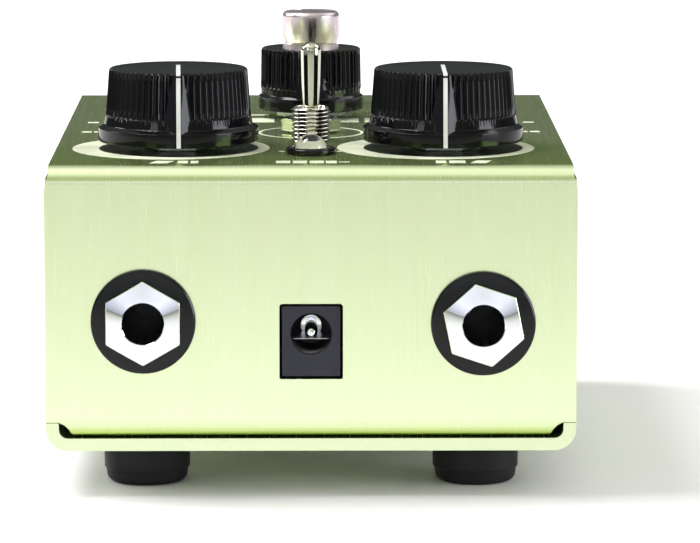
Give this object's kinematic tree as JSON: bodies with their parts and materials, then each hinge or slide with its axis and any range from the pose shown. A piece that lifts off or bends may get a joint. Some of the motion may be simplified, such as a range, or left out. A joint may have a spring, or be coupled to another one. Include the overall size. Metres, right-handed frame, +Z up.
{
  "type": "guitar effects pedal",
  "caption": "Floor effects pedal in a folded metal case on rubber feet, with turning knobs, a toggle, a lamp, a footswitch, audio jack sockets and a power socket.",
  "frame": {"origin": "centre of the overall bounding box at floor level, under the middle of the pedal", "axes": "+X to the right when facing the socket end, -Y out of the socket end, +Y towards the footswitch end, +Z up"},
  "size_m": [0.082, 0.1112, 0.0677],
  "materials": {
    "lime_anodised": "vertically brushed, pale lime anodised",
    "knob_plastic": "glossy moulded black",
    "pointer_white": "white filled line",
    "black_plastic": "glossy moulded black",
    "chrome": "bright plated",
    "steel": "plain zinc plated",
    "rubber": "matt black moulded",
    "clear_lens": "water clear moulded lens",
    "circuit_board": "green solder mask",
    "contact_brass": "plated spring contact"
  },
  "bodies": {
    "case": {"cover_shell": "lime_anodised", "base_tray": "lime_anodised", "foot_near_left": "rubber", "foot_near_right": "rubber", "foot_far_left": "rubber", "foot_far_right": "rubber", "foot_screw_near_left": "steel", "foot_screw_near_right": "steel", "foot_screw_far_left": "steel", "foot_screw_far_right": "steel", "base_screw_near_left": "steel", "base_screw_near_right": "steel", "base_screw_far_left": "steel", "base_screw_far_right": "steel", "control_board": "circuit_board", "socket_board": "circuit_board", "board_link": "black_plastic", "amplifier_chip": "black_plastic", "filter_capacitor": "black_plastic", "input_pot_body": "steel", "input_pot_nut": "steel", "output_pot_body": "steel", "output_pot_nut": "steel", "tone_pot_body": "steel", "tone_pot_nut": "steel", "toggle_body": "black_plastic", "toggle_bushing": "chrome", "toggle_nut": "steel", "trimmer_body": "black_plastic", "trimmer_nut": "chrome", "led_bezel": "black_plastic", "led_lens": "clear_lens", "footswitch_body": "black_plastic", "footswitch_bushing": "chrome", "footswitch_washer": "black_plastic", "footswitch_nut": "chrome", "footswitch_spring": "steel", "input_socket_body": "black_plastic", "input_socket_washer": "black_plastic", "input_socket_nut": "chrome", "input_tip_contact": "contact_brass", "output_socket_body": "black_plastic", "output_socket_washer": "black_plastic", "output_socket_nut": "chrome", "output_tip_contact": "contact_brass", "power_socket_body": "black_plastic", "power_socket_pin": "chrome"},
    "input_control": {"input_knob": "knob_plastic", "input_shaft": "steel", "input_pointer": "pointer_white"},
    "output_control": {"output_knob": "knob_plastic", "output_shaft": "steel", "output_pointer": "pointer_white"},
    "tone_control": {"tone_knob": "knob_plastic", "tone_shaft": "steel", "tone_pointer": "pointer_white"},
    "toggle_arm": {"toggle_lever": "chrome"},
    "trimmer_rotor": {"trimmer_shaft": "chrome"},
    "footswitch_plunger": {"footswitch_button": "chrome"}
  },
  "joints": [
    {"name": "input_knob_turn", "type": "hinge", "parent": "case", "child": "input_control", "pos_m": [-0.021, -0.0276, 0.0515], "axis": [0, 0, 1], "range_deg": [-150, 150]},
    {"name": "output_knob_turn", "type": "hinge", "parent": "case", "child": "output_control", "pos_m": [0.021, -0.0276, 0.0515], "axis": [0, 0, 1], "range_deg": [-150, 150]},
    {"name": "tone_knob_turn", "type": "hinge", "parent": "case", "child": "tone_control", "pos_m": [0, 0.0184, 0.0515], "axis": [0, 0, 1], "range_deg": [-150, 150]},
    {"name": "toggle_throw", "type": "hinge", "parent": "case", "child": "toggle_arm", "pos_m": [0, -0.0171, 0.052], "axis": [1, 0, 0], "range_deg": [-12.5, 12.5]},
    {"name": "trimmer_turn", "type": "hinge", "parent": "case", "child": "trimmer_rotor", "pos_m": [0, -0.0059, 0.0515], "axis": [0, 0, 1], "range_deg": [-135, 135]},
    {"name": "footswitch_press", "type": "slide", "parent": "case", "child": "footswitch_plunger", "axis": [0, 0, -1], "range_m": [0, 0.0035], "stiffness_N_per_m": 3000, "springref_m": -0.002, "deforming": ["footswitch_spring"]}
  ]
}
